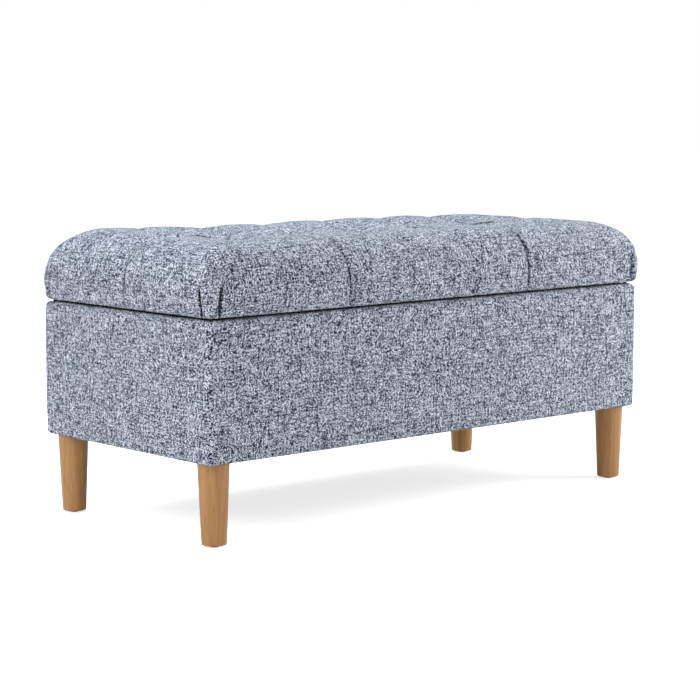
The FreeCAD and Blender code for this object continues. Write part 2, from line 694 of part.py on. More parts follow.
def stay_link():
    bar = slotted_plate(LINK_X[0], LINK_X[1], ARM_END_AT, LID_PIN_AT, LINK_WIDTH)
    rivet_hole = along_x(RIVET_RADIUS + RUNNING_CLEARANCE, LINK_X[0] - 1, LINK_X[1] + 1, *ARM_END_AT)
    pin_hole = along_x(RIVET_RADIUS + LID_PIN_CLEARANCE, LINK_X[0] - 1, LINK_X[1] + 1, *LID_PIN_AT)
    return bar.cut([rivet_hole, pin_hole])


def lid_bracket():
    """The angle under the lid and the pin that the link turns on."""
    y, z = LID_PIN_AT
    top = LID_BOTTOM - LID_LINING
    tab_x = (BRACKET_X, BRACKET_X + BRACKET_THICKNESS)
    span = (y - BRACKET_WIDTH / 2, y + BRACKET_WIDTH / 2)
    tab = box(*tab_x, *span, z, top)
    lug = along_x(BRACKET_WIDTH / 2, *tab_x, y, z).common(box(*tab_x, *span, z - BRACKET_DROP, z))
    flange = box(BRACKET_X, BRACKET_X + BRACKET_FLANGE, *span, top - BRACKET_THICKNESS, top)
    pin = headed_pin(tab_x[1], LID_PIN_AT)
    return union([tab, lug, flange]).cut(pin), pin


def make_stays():
    housing, plate = damper_housing()
    arm, shaft = stay_arm()
    bracket, lid_pin = lid_bracket()
    rivet = arm_rivet()
    link = stay_link()
    plate_places = [V(PLATE_X[0], DAMPER_AT[0] + s * DAMPER_PLATE_HALF, DAMPER_AT[1]) for s in (-1, 1)]
    plate_screws, plate_holes = screws_and_holes(plate_places, V(1, 0, 0), *DAMPER_SCREW)
    plate = plate.cut(plate_holes)
    flange_x = BRACKET_X + (BRACKET_THICKNESS + BRACKET_FLANGE) / 2
    flange_z = LID_BOTTOM - LID_LINING - BRACKET_THICKNESS
    flange_places = [V(flange_x, LID_PIN_AT[0] + s * BRACKET_SCREW_SPREAD, flange_z) for s in (-1, 1)]
    flange_screws, flange_holes = screws_and_holes(flange_places, UP, *BRACKET_SCREW)
    bracket = bracket.cut(flange_holes)
    for side in SIDES:
        add(f"damper_{side}", on_side(housing, side))
        add(f"damper_plate_{side}", on_side(plate, side))
        add(f"damper_shaft_{side}", on_side(shaft, side))
        add(f"stay_arm_{side}", on_side(arm, side))
        add(f"stay_rivet_{side}", on_side(rivet, side))
        add(f"stay_link_{side}", on_side(link, side))
        add(f"lid_bracket_{side}", on_side(bracket, side))
        drill([f"{side}_panel", "lining_walls"], [on_side(hole, side) for hole in plate_holes])
        drill(["lid_lining", "lid_cover", "lid_board"], [on_side(hole, side) for hole in flange_holes])
    add("lid_bracket_pins", *[on_side(lid_pin, side) for side in SIDES])
    add("damper_screws", *[on_side(s, side) for side in SIDES for s in plate_screws])
    add("lid_bracket_screws", *[on_side(s, side) for side in SIDES for s in flange_screws])


def write(name, solids):
    shape = solids[0] if len(solids) == 1 else Part.makeCompound(solids)
    if not shape.isValid() or any(solid.Volume <= 0 for solid in shape.Solids):
        raise RuntimeError(f"{name} isn't a valid solid")
    shape.exportStep(f"parts/{name}.step")
    return len(shape.Solids)


def main():
    os.makedirs("parts", exist_ok=True)
    make_panels()
    make_corner_blocks_and_rails()
    make_frame_screws()
    make_base_upholstery()
    make_legs()
    make_lid()
    make_bumpers()
    make_hinge()
    make_stays()
    make_staples()
    for name, solids in NODES.items():
        print(name, write(name, solids))


main()
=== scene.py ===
import json
import math

import bmesh
import bpy
import numpy as np
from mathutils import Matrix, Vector


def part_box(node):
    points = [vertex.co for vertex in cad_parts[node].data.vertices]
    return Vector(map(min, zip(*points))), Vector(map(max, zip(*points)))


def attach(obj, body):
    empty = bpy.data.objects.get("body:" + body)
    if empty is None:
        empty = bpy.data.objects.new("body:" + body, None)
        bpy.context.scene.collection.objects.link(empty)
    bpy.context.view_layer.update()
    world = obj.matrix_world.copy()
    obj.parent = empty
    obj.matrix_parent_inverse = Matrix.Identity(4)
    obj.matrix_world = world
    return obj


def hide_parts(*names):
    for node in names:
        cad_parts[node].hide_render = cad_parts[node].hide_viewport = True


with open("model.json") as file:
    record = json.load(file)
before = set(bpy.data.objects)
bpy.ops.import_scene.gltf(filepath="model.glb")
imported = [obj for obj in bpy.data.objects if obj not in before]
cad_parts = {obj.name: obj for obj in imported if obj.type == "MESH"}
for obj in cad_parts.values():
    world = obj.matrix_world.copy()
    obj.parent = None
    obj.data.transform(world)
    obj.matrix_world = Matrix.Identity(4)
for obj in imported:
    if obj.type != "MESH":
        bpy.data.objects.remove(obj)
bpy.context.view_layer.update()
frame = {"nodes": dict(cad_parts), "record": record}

# Places that come from the frame, in metres

BASE_LOW, BASE_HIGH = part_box("base_cover")
LID_LOW, LID_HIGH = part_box("lid_cover")
BOARD_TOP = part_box("lid_board")[1].z
WALLS_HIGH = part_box("lining_walls")[1]
LID_BOTTOM = LID_LOW.z
HALF_LENGTH = BASE_HIGH.x
HALF_DEPTH = BASE_HIGH.y

MM = 0.001
FABRIC = 1.2 * MM  # thickness of the upholstery

# The section of the lid's cover

CROWN = LID_HIGH.z - 2 * MM  # the flat of the top, before the stuffing and the tufts change it
SHOULDER_RUN = 74 * MM  # from the flat of the top out to the widest line
SHOULDER_RISE = 80 * MM
SHOULDER_FULLNESS = 2.4  # 2 is an ellipse, and more is squarer
UNDER_ROUND = 6.5 * MM
UNDER_INSET = 1.5 * MM
LID_RETURN = 40 * MM
CORNER_RADIUS = 14 * MM  # in plan, on the widest line
CORNER_GROWTH = 30 * MM  # how much larger that radius is at the flat of the top
LID_SHIFT = (1.5 * MM, -1.5 * MM)  # how far off the middle the cushion sits
EDGE_MARGIN = 2 * MM  # from the section's lowest point up to what counts as the lower edge
SECTION_POINTS = (48, 10, 12)  # on the shoulder, on the skirt and round the lower edge

# The grid of the lid's cover

CELLS_PER_TUFT = 22  # mesh cells from one tuft column to the next staggered one
RING_STEP = 3.2 * MM
FINE_STEP = 1.6 * MM  # between the shoulder and the lower edge, where the darts are
LEAST_STEP = 0.45  # of a crease's width; grid lines are no closer than this
TINY = 1e-12  # keeps a divisor off zero

# Tufts

TUFT_SPACING = 135 * MM
TUFT_ROW_SPACING = 92 * MM
TUFTS_PER_ROW = (6, 5, 6)  # from the front row to the back row
OUTER_COLUMNS = (-5, -3, -1, 1, 3, 5)  # places of the front and back rows' tufts, in half spacings
END_COLUMN = 4  # place of the middle row's last tuft, in half spacings
PILLOW_HEIGHT = 17 * MM
PILLOW_WIDTH = 25 * MM
PULL_POWER = 3.5  # how sharply the pull of one fold gives way to that of the next
PIT_DEPTH = 6 * MM
PIT_WIDTH = 13 * MM
PIT_POWER = 1.3  # 1 is a sharp cone, and 2 is a rounded pit
PIT_SHADE = 11 * MM  # width of the painted shade in a tuft's pit
PUCKER = 0.7 * MM  # height of the gathers that fan out from a tuft
PUCKER_REACH = 15 * MM
PUCKER_START = 6 * MM
PUCKER_COUNTS = (7, 11)  # gathers round one tuft, in the two waves that make them up
PUCKER_MIX = 0.7  # of the second wave, against 1 of the first

# How the stuffing differs from an even section

TOP_PLUMP = -0.7 * MM
END_PLUMP = {-1: 6.2 * MM, 1: -3.4 * MM}  # how much fuller the cushion is past the last tufts, by end
END_PLUMP_FROM = 1.8 * TUFT_SPACING  # from the middle of the lid
END_PLUMP_RUN = 100 * MM
PLUMP_REACH = 95 * MM  # along the section from the flat of the top
BACK_PLUMP_FROM = -30 * MM
BACK_PLUMP_RUN = 90 * MM
LUMPS = ((1.0 * MM, 120 * MM, 3), (0.45 * MM, 38 * MM, 5))  # height, length and seed
EDGE_WAVE = (0.8 * MM, 90 * MM, 17)  # height, length and seed of the lower edge's waviness
EDGE_WAVE_START = 3 * MM  # over the bottom, where the wave is highest
EDGE_WAVE_RISE = 30 * MM  # over the bottom, where it ends

# Folds between the tufts

FOLD_STEP = 0.6 * MM  # how much higher the cloth lies on one side of a fold
FOLD_STEP_REACH = 6 * MM
FOLD_STEP_WIDTH = 0.8  # of the crease's width
SLACK = (0.30, 0.48)  # how much shallower a fold is halfway between two tufts, least and most
TIGHTNESS = (0.6, 1.0)  # how sharp its crease is, least and most
MIDWAY_TIGHTNESS = 0.5  # of the tightness at the tufts
DIAGONAL_WIDTH = 2.6 * MM
DIAGONAL_DEPTH = 2.0 * MM

# Folds from the outer tufts down to the lower edge. Strengths run from left to right

FRONT_CREASES = (0.35, 0.70, 0.15, 0.20, 1.0, 0.15)
BACK_CREASES = (0.6, 0.4, 0.7, 0.35, 0.5, 0.6)
END_CREASES = {-1: 0.9, 1: 0.7}
CREASE_WIDTH = 1.9 * MM
CREASE_DEPTH = 3.4 * MM
EDGE_PULL = (0.08, 0.10, 0.82)  # everywhere, by the crease's strength, and falling off from the tuft
FALL_LENGTH = 45 * MM  # over which a front or back fold gets shallower
END_FALL_LENGTH = 100 * MM
END_FALL_POWER = 1.5
NARROWEST = 0.4  # of the pillow's width, at the far end of the fold
NARROWING = 60 * MM  # over which the fold gets narrower
CREASE_FADE = 6 * MM
FAINTEST = 0.08
WEAKEST_AT = 75 * MM  # where the crease is weakest, over the shoulder
WEAK_LENGTH = 30 * MM
WEAKENING = 0.45
BOW = 5 * MM  # how far the end fold bends aside
BOW_FROM = 90 * MM

# The end fold's mouth, where the cloth is tucked under itself

MOUTH_AT = 48 * MM
MOUTH_LENGTH = 36 * MM
MOUTH_EASE = 0.75  # how much of the fold's broad pull the mouth takes away
MOUTH_STEP = 2.4 * MM
MOUTH_STEP_WIDTH = 1.4 * MM
MOUTH_STEP_REACH = 40 * MM
MOUTH_DIP = 2.5 * MM
MOUTH_DIP_REACH = 30 * MM
# Width of the painted shade along the mouth
MOUTH_SHADE = 3.2 * MM

# Darts beside the corners

DART_HEIGHT = 54 * MM
DART_GAP = (18 * MM, 25 * MM)  # from the corner, at the lower edge and at the top
DART_WIDTH = 2.3 * MM
DART_DEPTH = 4.0 * MM
DART_FADE = (12 * MM, 6 * MM)  # at its top and below the lower edge
DART_LIP = (0.6 * MM, 5 * MM, 3.5 * MM)  # height, distance from the dart, and width
DART_SHADE = (1.0 * MM, 2.6 * MM)  # distance and width of the painted shade beside a dart

# Where the relief begins over the bottom, and where the simulation holds the cloth

FREE_FROM = 2 * MM
FREE_RUN = 10 * MM
HEM = 14 * MM  # above the lower edge, where the hold begins
HEM_RUN = 12 * MM
VALLEY_POWER = 3  # how closely the hold keeps to the bottoms of the folds
PADDING_INSET = 3.0 * MM  # of the pad under the cover

# The cloth simulation that stuffs the cover

CLOTH_STRIDE = 3  # the cover's grid lines for each simulated one
CLOTH_FRAMES = 20
CLOTH_PRESSURE = 14.0
CLOTH_TENSION = 8
CLOTH_COMPRESSION = 5
CLOTH_BENDING = 0.2
CLOTH_CAP = 5 * MM  # the furthest that any point may move


# Mesh helpers


def new_object(name, verts, faces, uvs=None):
    """A mesh object with smooth faces. uvs holds one pair of metres per face corner."""
    mesh = bpy.data.meshes.new(name)
    mesh.from_pydata([tuple(v) for v in verts], [], [tuple(f) for f in faces])
    mesh.shade_smooth()
    if uvs is not None:
        layer = mesh.uv_layers.new(name="UVMap")
        layer.data.foreach_set("uv", np.asarray(uvs, np.float32).ravel())
    mesh.validate()
    obj = bpy.data.objects.new(name, mesh)
    bpy.context.scene.collection.objects.link(obj)
    return obj


def remove_loose(obj):
    """Deletes the vertices that no face uses."""
    used = {index for face in obj.data.polygons for index in face.vertices}
    work = bmesh.new()
    work.from_mesh(obj.data)
    bmesh.ops.delete(work, geom=[v for v in work.verts if v.index not in used], context="VERTS")
    work.to_mesh(obj.data)
    work.free()


def close_bottom(obj):
    """Fills the one open edge loop of a mesh."""
    work = bmesh.new()
    work.from_mesh(obj.data)
    rim = [e for e in work.edges if e.is_boundary]
    bmesh.ops.holes_fill(work, edges=rim, sides=0)
    bmesh.ops.triangulate(work, faces=[f for f in work.faces if len(f.verts) > 4])
    bmesh.ops.recalc_face_normals(work, faces=work.faces)
    work.to_mesh(obj.data)
    work.free()


def arc_lengths(points):
    steps = np.linalg.norm(np.diff(points, axis=0), axis=1)
    return np.concatenate([[0.0], np.cumsum(steps)])


def quarter(centre, radii, start, end, count):
    """Points of an elliptical arc, angles in degrees."""
    angles = np.radians(np.linspace(start, end, count))
    across = centre[0] + radii[0] * np.cos(angles)
    up = centre[1] + radii[1] * np.sin(angles)
    return np.column_stack([across, up])


def grid_quads(rows, columns):
    """The four vertex numbers of each face of a grid of points."""
    index = np.arange(rows * columns).reshape(rows, columns)
    return np.stack([index[:-1, :-1], index[1:, :-1], index[1:, 1:], index[:-1, 1:]], axis=-1)


def share(value):
    """A value kept between 0 and 1."""
    return np.clip(value, 0, 1)


def ease(value):
    """A share with gentle ends."""
    return value * value * (3 - 2 * value)


def fade(distance, length):
    return np.exp(-distance / length)


def bell(distance, width):
    return np.exp(-((distance / width) ** 2))


def plateau(distance, width):
    """A bell with a flat top and steep sides."""
    return np.exp(-((distance / width) ** 4))


# The camera and the light


def add_camera():
    camera = bpy.data.objects.new("camera", bpy.data.cameras.new("camera"))
    bpy.context.scene.collection.objects.link(camera)
    camera.data.lens = 112.66
    camera.data.sensor_width = 36.0
    camera.data.clip_end = 50.0
    camera.location = (-2.4756, -2.8091, 0.7027)
    camera.rotation_euler = (math.radians(90 - 6.885), math.radians(0.093), math.radians(-41.354))
    bpy.context.scene.camera = camera


def add_area_light(name, place, target, size, power, colour=(1, 1, 1)):
    data = bpy.data.lights.new(name, "AREA")
    data.shape = "RECTANGLE"
    data.size, data.size_y = size
    data.energy = power
    data.color = colour
    light = bpy.data.objects.new(name, data)
    light.location = place
    light.rotation_euler = (Vector(target) - Vector(place)).to_track_quat("-Z", "Y").to_euler()
    bpy.context.scene.collection.objects.link(light)


SKY = 0.42  # the room's even light, against 1 for the white that the camera sees
FLOOR_LIFT = 0.7  # how much whiter the camera sees the floor than the light makes it


def floor_material():
    """A pale matt floor."""
    n = Nodes("studio_floor")
    n.set(Base_Color=(0.9, 0.9, 0.9, 1.0), Roughness=0.9, Emission_Color=(1.0, 1.0, 1.0, 1.0))
    seen = n.add("ShaderNodeLightPath").outputs["Is Camera Ray"]
    n.link(n.math("MULTIPLY", seen, FLOOR_LIFT), n.shader.inputs["Emission Strength"])
    return n.material


def add_studio():
    scene = bpy.context.scene
    scene.view_settings.view_transform = "Standard"
    world = bpy.data.worlds.new("studio")
    scene.world = world
    world.use_nodes = True
    tree = world.node_tree
    background = tree.nodes["Background"]
    background.inputs["Color"].default_value = (1.0, 1.0, 1.0, 1.0)
    path = tree.nodes.new("ShaderNodeLightPath")
    strength = tree.nodes.new("ShaderNodeMapRange")
    strength.inputs["To Min"].default_value = SKY
    strength.inputs["To Max"].default_value = 1.0
    tree.links.new(path.outputs["Is Camera Ray"], strength.inputs["Value"])
    tree.links.new(strength.outputs[0], background.inputs["Strength"])
    add_area_light("key", (-2.4, -0.3, 1.9), (-0.3, 0, 0.3), (1.3, 1.3), 36)
    add_area_light("top", (-0.3, 1.0, 2.3), (0, 0, 0.4), (1.4, 1.4), 40, (0.84, 0.92, 1.0))
    add_area_light("fill", (1.7, -1.3, 1.1), (0.3, 0, 0.3), (1.0, 1.0), 30)
    bpy.ops.mesh.primitive_plane_add(size=30)
    floor = bpy.context.object
    floor.name = "floor"
    floor.data.materials.append(floor_material())


# Materials


class Nodes:
    """A short way to write a material's nodes."""

    def __init__(self, name):
        self.material = bpy.data.materials.new(name)
        self.material.use_nodes = True
        self.tree = self.material.node_tree
        self.shader = self.tree.nodes["Principled BSDF"]

    def add(self, kind, **settings):
        node = self.tree.nodes.new(kind)
        for key, value in settings.items():
            setattr(node, key, value)
        return node

    def link(self, source, target):
        self.tree.links.new(source, target)

    def feed(self, node, index, value):
        if isinstance(value, bpy.types.NodeSocket):
            self.link(value, node.inputs[index])
        elif value is not None:
            node.inputs[index].default_value = value

    def math(self, operation, a, b=None, c=None):
        node = self.add("ShaderNodeMath", operation=operation)
        for index, value in enumerate((a, b, c)):
            self.feed(node, index, value)
        return node.outputs[0]

    def combine(self, x, y, z=0.0):
        node = self.add("ShaderNodeCombineXYZ")
        for index, value in enumerate((x, y, z)):
            self.feed(node, index, value)
        return node.outputs[0]

    def noise(self, vector, scale, detail=2.0, roughness=0.5):
        node = self.add("ShaderNodeTexNoise")
        self.link(vector, node.inputs["Vector"])
        node.inputs["Scale"].default_value = scale
        node.inputs["Detail"].default_value = detail
        node.inputs["Roughness"].default_value = roughness
        return node.outputs[0]

    def ramp(self, factor, stops):
        node = self.add("ShaderNodeValToRGB")
        elements = node.color_ramp.elements
        while len(elements) < len(stops):
            elements.new(0.5)
        for element, (position, colour) in zip(elements, stops):
            element.position = position
            element.color = (*colour, 1.0)
        self.link(factor, node.inputs[0])
        return node.outputs[0]

    def mix(self, factor, a, b, blend="MIX"):
        node = self.add("ShaderNodeMix", data_type="RGBA", blend_type=blend)
        self.feed(node, 0, factor)
        self.feed(node, 6, a)
        self.feed(node, 7, b)
        return node.outputs[2]

    def bump(self, height, strength, distance):
        node = self.add("ShaderNodeBump")
        node.inputs["Strength"].default_value = strength
        node.inputs["Distance"].default_value = distance
        self.link(height, node.inputs["Height"])
        self.link(node.outputs[0], self.shader.inputs["Normal"])

    def set(self, **values):
        for key, value in values.items():
            self.shader.inputs[key.replace("_", " ")].default_value = value


# The weave. Its noise is stretched along the yarns: scales are per yarn, across a yarn and along it

YARN_PITCH = 1.35 * MM
WANDER_SCALE, WANDER = 40.0, 0.9  # the yarns' slow wandering: per metre, and in yarns
HAIR_SCALE, HAIR = 900.0, 0.7  # the ragged edge of the yarns: per metre, and in yarns
PLAIN_SHARE, STRAY_SHARE, OVER_LIMIT = 0.7, 0.6, 0.65  # a plain weave with some strays
STREAK_SCALES = (7.31, 0.30)
STREAK_CONTRAST = 1.0  # along one yarn, over a few crossings
BAND_SCALES = (0.42, 0.045)
BAND_CONTRAST = 1.35  # over a few yarns together, far along them
SPECK_CONTRAST = 1.7  # from one crossing to the next
FIBRE_SCALES = (6.0, 1.1)
FIBRE_CONTRAST = 0.5
BROAD_SCALE = 22.0  # per metre
BROAD_CONTRAST = 0.25
FIBRE_HEIGHT = 0.6  # of a yarn's
GAP_SHADE = 0.52  # how bright the painted shade in the gaps between yarns is
CROWN_SHADE = 0.50  # how much brighter the painted highlight on the yarns' middle lines is
CREASE_SHADE = 0.9  # how dark the painted shade at the bottom of a crease is
YARN_TONES = [
    (0.00, (0.005, 0.009, 0.024)),
    (0.24, (0.026, 0.043, 0.091)),
    (0.46, (0.131, 0.173, 0.265)),
    (0.68, (0.328, 0.386, 0.503)),
    (1.00, (0.796, 0.834, 0.912)),
]


def upholstery_material():
    """A coarse plain weave of slubby yarns in navy, grey-blue and off-white, with painted shade between
    the yarns and in the cover's creases; UVs are in metres.
    """
    n = Nodes("upholstery_fabric")
    uv = n.add("ShaderNodeUVMap", uv_map="UVMap").outputs[0]
    split = n.add("ShaderNodeSeparateXYZ")
    n.link(uv, split.inputs[0])
    wander = n.math("MULTIPLY", n.noise(uv, WANDER_SCALE), WANDER)
    hairy = n.math("MULTIPLY", n.noise(uv, HAIR_SCALE, detail=3.0), HAIR)
    wobble = n.math("ADD", wander, hairy)
    a = n.math("ADD", n.math("DIVIDE", split.outputs[0], YARN_PITCH), wobble)
    b = n.math("ADD", n.math("DIVIDE", split.outputs[1], YARN_PITCH), wobble)
    column, row = n.math("FLOOR", a), n.math("FLOOR", b)
    across, along = n.math("FRACT", a), n.math("FRACT", b)

    def stretched(across_yarn, along_yarn, scales, seed, detail=2.0):
        """Noise that is long along a yarn and short across it."""
        scaled_across = n.math("MULTIPLY", across_yarn, scales[0])
        scaled_along = n.math("MULTIPLY", along_yarn, scales[1])
        return n.noise(n.combine(scaled_across, scaled_along, seed), 1.0, detail=detail, roughness=0.55)

    def centred(value, contrast, onto):
        """Adds what the value has above or below 0.5, times the contrast."""
        return n.math("MULTIPLY_ADD", n.math("SUBTRACT", value, 0.5), contrast, onto)

    parity = n.math("MODULO", n.math("ABSOLUTE", n.math("ADD", column, row)), 2.0)
    stray = n.add("ShaderNodeTexWhiteNoise", noise_dimensions="2D")
    n.link(n.combine(column, row), stray.inputs["Vector"])
    plain_part = n.math("MULTIPLY", parity, PLAIN_SHARE)
    stray_part = n.math("MULTIPLY", stray.outputs[0], STRAY_SHARE)
    over = n.math("GREATER_THAN", n.math("ADD", plain_part, stray_part), OVER_LIMIT)
    under = n.math("SUBTRACT", 1.0, over)

    def on_top(warp, weft):
        """The warp's value where the warp lies over the weft, and the weft's elsewhere."""
        return n.math("ADD", n.math("MULTIPLY", warp, over), n.math("MULTIPLY", weft, under))

    speck = n.add("ShaderNodeTexWhiteNoise", noise_dimensions="2D")
    n.link(n.combine(n.math("ADD", column, 0.5), n.math("SUBTRACT", row, 31.5)), speck.inputs["Vector"])
    streak = on_top(stretched(column, b, STREAK_SCALES, 3.7), stretched(row, a, STREAK_SCALES, 91.3))
    fibre = on_top(stretched(a, b, FIBRE_SCALES, 5.1), stretched(b, a, FIBRE_SCALES, 17.9))
    tone = centred(streak, STREAK_CONTRAST, 0.5)
    tone = centred(speck.outputs[0], SPECK_CONTRAST, tone)
    tone = centred(fibre, FIBRE_CONTRAST, tone)
    tone = centred(stretched(a, b, BAND_SCALES, 41.0, detail=1.0), BAND_CONTRAST, tone)
    tone = centred(stretched(b, a, BAND_SCALES, 63.0, detail=1.0), BAND_CONTRAST, tone)
    tone = centred(n.noise(uv, BROAD_SCALE, detail=3.0), BROAD_CONTRAST, tone)
    colour = n.ramp(tone, YARN_TONES)

    def crown(fraction):
        """1 on the yarn's middle line and 0 at its edges."""
        offset = n.math("MULTIPLY_ADD", fraction, 2.0, -1.0)
        return n.math("SUBTRACT", 1.0, n.math("MULTIPLY", offset, offset))

    height = n.math("MULTIPLY_ADD", fibre, FIBRE_HEIGHT, on_top(crown(across), crown(along)))
    # Painted shade in the gaps between yarns, and a painted highlight on their middle lines
    shade = n.math("MULTIPLY_ADD", n.math("MINIMUM", height, 1.0), CROWN_SHADE, GAP_SHADE)
    # Painted shade in the cover's creases, tuft pits, gathers and darts, read from a point attribute
    painted_crease_shade = n.add("ShaderNodeAttribute", attribute_name="painted_fold_shade").outputs["Fac"]
    shade = n.math("MULTIPLY", shade, n.math("MULTIPLY_ADD", painted_crease_shade, -CREASE_SHADE, 1.0))
    shaded = n.mix(1.0, colour, n.combine(shade, shade, shade), blend="MULTIPLY")
    n.link(shaded, n.shader.inputs["Base Color"])
    n.bump(height, 0.6, 0.5 * MM)
    n.set(Roughness=0.92, Sheen_Weight=0.12, Sheen_Roughness=0.5, Specular_IOR_Level=0.2)
    return n.material


RINGS = 9.0  # from the figure's lowest to its highest value
RING_SHARE = 0.30  # of the wood's tone; the fibres make up the rest
PORE_FINENESS = 3.2  # against the fibres
PORE_LIMIT = 0.36  # the noise below it is pores
PORE_COVER = 0.35
PORE_TONE = 0.55  # of the dark wood's colour


def wood_material(name, light, dark, grain_scale, figure_scale, roughness, stretch=(1.0, 1.0, 0.06)):
    """Wood whose grain runs along the axis with the smallest stretch."""
    n = Nodes(name)
    place = n.add("ShaderNodeTexCoord").outputs["Object"]
    mapping = n.add("ShaderNodeMapping")
    n.link(place, mapping.inputs[0])
    mapping.inputs["Scale"].default_value = stretch
    vector = mapping.outputs[0]
    figure = n.noise(vector, figure_scale, detail=3.0)
    bands = n.math("FRACT", n.math("MULTIPLY", figure, RINGS))
    off_middle = n.math("SUBTRACT", n.math("MULTIPLY", bands, 2.0), 1.0)
    soft = n.math("SUBTRACT", 1.0, n.math("ABSOLUTE", off_middle))
    fibre = n.noise(vector, grain_scale, detail=4.0, roughness=0.65)
    ring_part = n.math("MULTIPLY", soft, RING_SHARE)
    tone = n.math("ADD", ring_part, n.math("MULTIPLY", fibre, 1 - RING_SHARE))
    colour = n.ramp(tone, [(0.25, dark), (0.62, light)])
    pores = n.noise(vector, grain_scale * PORE_FINENESS, detail=2.0)
    pore_mask = n.math("LESS_THAN", pores, PORE_LIMIT)
    pore_colour = (*[c * PORE_TONE for c in dark], 1.0)
    colour = n.mix(n.math("MULTIPLY", pore_mask, PORE_COVER), colour, pore_colour)
    n.link(colour, n.shader.inputs["Base Color"])
    gloss = n.math("ADD", roughness, n.math("MULTIPLY", n.math("SUBTRACT", fibre, 0.5), 0.2))
    n.link(gloss, n.shader.inputs["Roughness"])
    n.bump(n.math("SUBTRACT", fibre, n.math("MULTIPLY", pore_mask, 0.4)), 0.12, 0.4 * MM)
    n.set(Specular_IOR_Level=0.45)
    return n.material


def cloth_material(name, colour, contrast, scale):
    """A plain non-woven or fibrous cloth."""
    n = Nodes(name)
    place = n.add("ShaderNodeTexCoord").outputs["Object"]
    fibres = n.noise(place, scale, detail=5.0, roughness=0.7)
    broad = n.noise(place, scale * 0.06, detail=2.0)
    tone = n.math("ADD", n.math("MULTIPLY", fibres, 0.8), n.math("MULTIPLY", broad, 0.2))
    low = [c * (1 - contrast) for c in colour]
    high = [min(c * (1 + contrast), 1.0) for c in colour]
    n.link(n.ramp(tone, [(0.35, low), (0.65, high)]), n.shader.inputs["Base Color"])
    n.bump(fibres, 0.5, 0.4 * MM)
    n.set(Roughness=0.95, Sheen_Weight=0.15, Specular_IOR_Level=0.2)
    return n.material


def metal_material(name, colour, roughness):
    """Plated steel with fine handling marks."""
    n = Nodes(name)
    place = n.add("ShaderNodeTexCoord").outputs["Object"]
    mapping = n.add("ShaderNodeMapping")
    n.link(place, mapping.inputs[0])
    mapping.inputs["Scale"].default_value = (0.15, 1.0, 1.0)
    lines = n.noise(mapping.outputs[0], 900.0, detail=3.0)
    smudge = n.noise(place, 35.0, detail=3.0)
    low = [c * 0.82 for c in colour]
    n.link(n.ramp(smudge, [(0.35, low), (0.7, colour)]), n.shader.inputs["Base Color"])
    rough = n.math("ADD", roughness - 0.1, n.math("MULTIPLY", n.math("ADD", lines, smudge), 0.12))
    n.link(rough, n.shader.inputs["Roughness"])
    n.bump(lines, 0.15, 0.1 * MM)
    n.set(Metallic=1.0)
    return n.material


def moulded_material(name, colour, roughness):
    """Moulded plastic or rubber with a fine texture."""
    n = Nodes(name)
    place = n.add("ShaderNodeTexCoord").outputs["Object"]
    grain = n.noise(place, 1500.0, detail=2.0)
    dust = n.noise(place, 40.0, detail=3.0)
    high = [c * 1.6 + 0.01 for c in colour]
    n.link(n.ramp(dust, [(0.4, colour), (0.75, high)]), n.shader.inputs["Base Color"])
    n.link(n.math("ADD", roughness, n.math("MULTIPLY", dust, 0.12)), n.shader.inputs["Roughness"])
    n.bump(grain, 0.25, 0.15 * MM)
    return n.material


def make_materials():
    oak_light, oak_dark = (0.475, 0.239, 0.085), (0.378, 0.173, 0.054)
    plywood_light, plywood_dark = (0.62, 0.44, 0.26), (0.48, 0.32, 0.17)
    pine_light, pine_dark = (0.72, 0.52, 0.28), (0.52, 0.32, 0.14)
    return {
        "upholstery_fabric": upholstery_material(),
        "oak": wood_material("oak", oak_light, oak_dark, 220.0, 26.0, 0.36),
        "plywood": wood_material("plywood", plywood_light, plywood_dark, 160, 8, 0.7, (0.05, 1, 1)),
        "pine": wood_material("pine", pine_light, pine_dark, 120, 14, 0.65, (0.06, 1, 1)),
        "wadding": cloth_material("wadding", (0.82, 0.82, 0.80), 0.08, 500.0),
        "foam": cloth_material("foam", (0.80, 0.74, 0.55), 0.12, 900.0),
        "lining_cloth": cloth_material("lining_cloth", (0.035, 0.036, 0.040), 0.35, 700.0),
        "twine": cloth_material("twine", (0.06, 0.07, 0.10), 0.25, 1500.0),
        "black_plastic": moulded_material("black_plastic", (0.020, 0.020, 0.021), 0.45),
        "rubber": moulded_material("rubber", (0.045, 0.045, 0.047), 0.7),
        "plated_steel": metal_material("plated_steel", (0.62, 0.62, 0.61), 0.34),
        "zinc_steel": metal_material("zinc_steel", (0.70, 0.70, 0.69), 0.28),
    }


# The lid's cover. It is one sheet: a grid whose edges run down over the shoulders, the skirt and the
# underside. A point of the sheet is its X and Y before it was bent down.


def lid_profile():
    """Outward reach and height of the cover's section, from the edge of the flat top to the end that is
    turned in under the lid."""
    on_shoulder, on_skirt, round_edge = SECTION_POINTS
    angles = np.radians(np.linspace(90, 0, on_shoulder))
    power = 2 / SHOULDER_FULLNESS
    widest = CROWN - SHOULDER_RISE
    shoulder = np.column_stack([
        SHOULDER_RUN * np.cos(angles) ** power,
        widest + SHOULDER_RISE * np.sin(angles) ** power,
    ])
    reach = SHOULDER_RUN - UNDER_INSET
    centre = (reach - UNDER_ROUND, LID_BOTTOM + UNDER_ROUND)
    lower = quarter(centre, (UNDER_ROUND, UNDER_ROUND), 0, -90, round_edge)
    down = np.linspace(0, 1, on_skirt)[1:-1]
    skirt = np.column_stack([
        SHOULDER_RUN - UNDER_INSET * ease(down),
        widest + (lower[0, 1] - widest) * down,
    ])
    end = [[SHOULDER_RUN - LID_RETURN, LID_BOTTOM]]
    return np.vstack([shoulder, skirt, lower, end])


def tuft_points():
    points = []
    for row, count in zip((-1, 0, 1), TUFTS_PER_ROW):
        for index in range(count):
            points.append(((index - (count - 1) / 2) * TUFT_SPACING, row * TUFT_ROW_SPACING))
    return points


